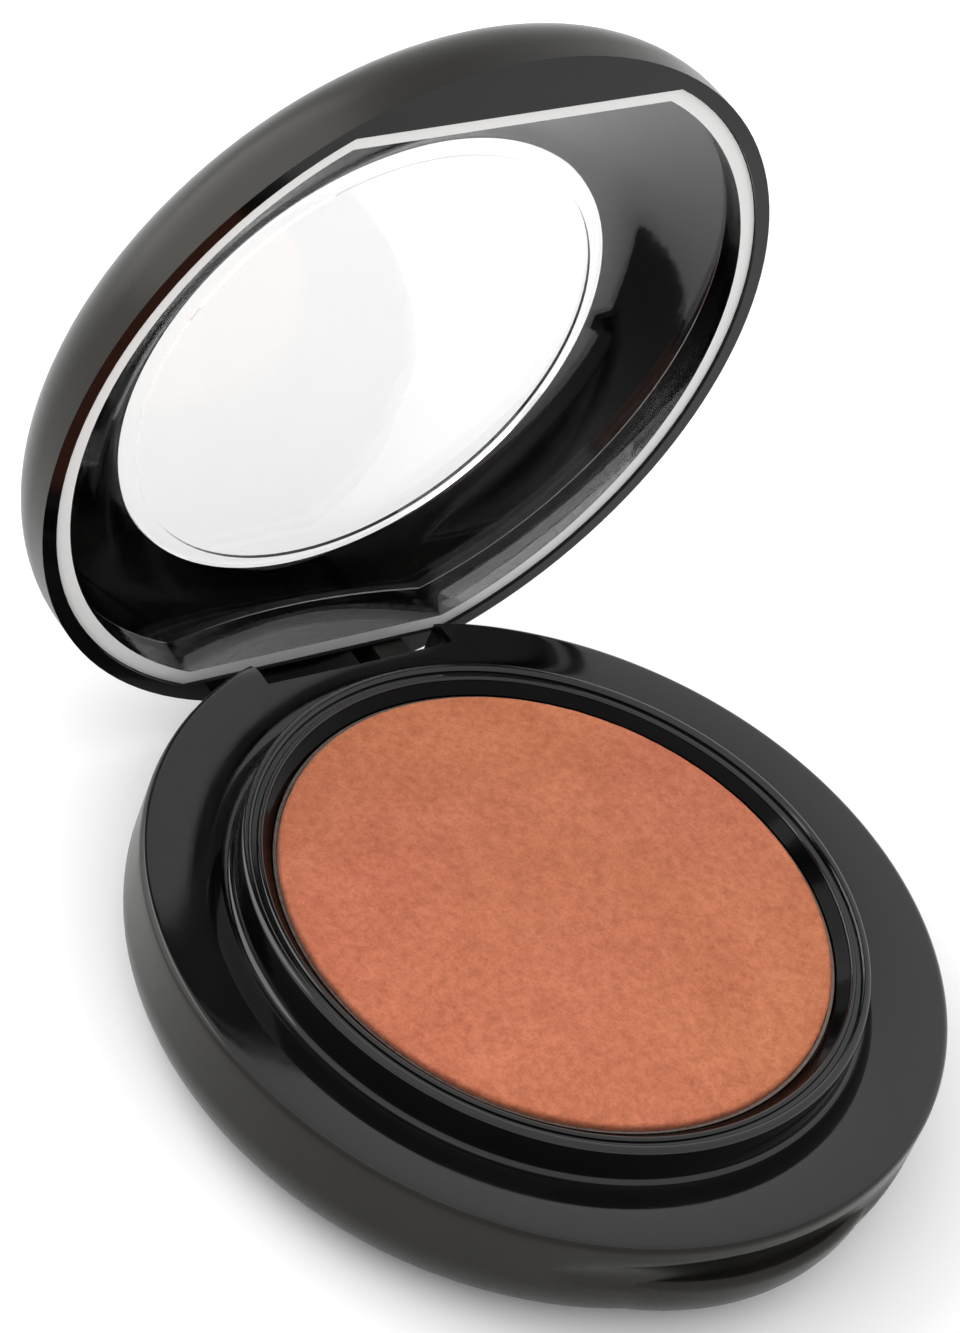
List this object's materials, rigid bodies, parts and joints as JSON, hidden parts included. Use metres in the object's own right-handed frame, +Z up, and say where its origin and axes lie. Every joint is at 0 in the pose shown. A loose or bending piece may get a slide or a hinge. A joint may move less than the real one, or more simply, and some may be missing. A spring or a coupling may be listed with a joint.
{
  "type": "powder compact",
  "caption": "Round pressed-powder compact: low rounded base with a raised collar around the powder, and a hinged lid with a round clear window.",
  "frame": {"origin": "centre of the round underside, on the surface it stands on", "axes": "+Z up, +Y towards the hinge, -Y towards the thumb lip, +X along the hinge pin"},
  "size_m": [0.0622, 0.0715, 0.0644],
  "materials": {
    "satin_case": "satin",
    "gloss_tray": "gloss",
    "pan_metal": "satin",
    "powder": "matte",
    "glue_pad": "matte",
    "label": "satin",
    "pin_steel": "satin",
    "clear_liner": "gloss"
  },
  "bodies": {
    "base": {"base_shell": "satin_case", "base_tray": "gloss_tray", "powder_pan": "pan_metal", "powder_cake": "powder", "pan_adhesive": "glue_pad", "bottom_label": "label", "hinge_pin": "pin_steel"},
    "lid": {"lid_shell": "satin_case", "lid_liner": "clear_liner"}
  },
  "joints": [
    {"name": "lid_hinge", "type": "hinge", "parent": "base", "child": "lid", "pos_m": [0, 0.0276, 0.00574], "axis": [1, 0, 0], "range_deg": [0, 90]}
  ]
}
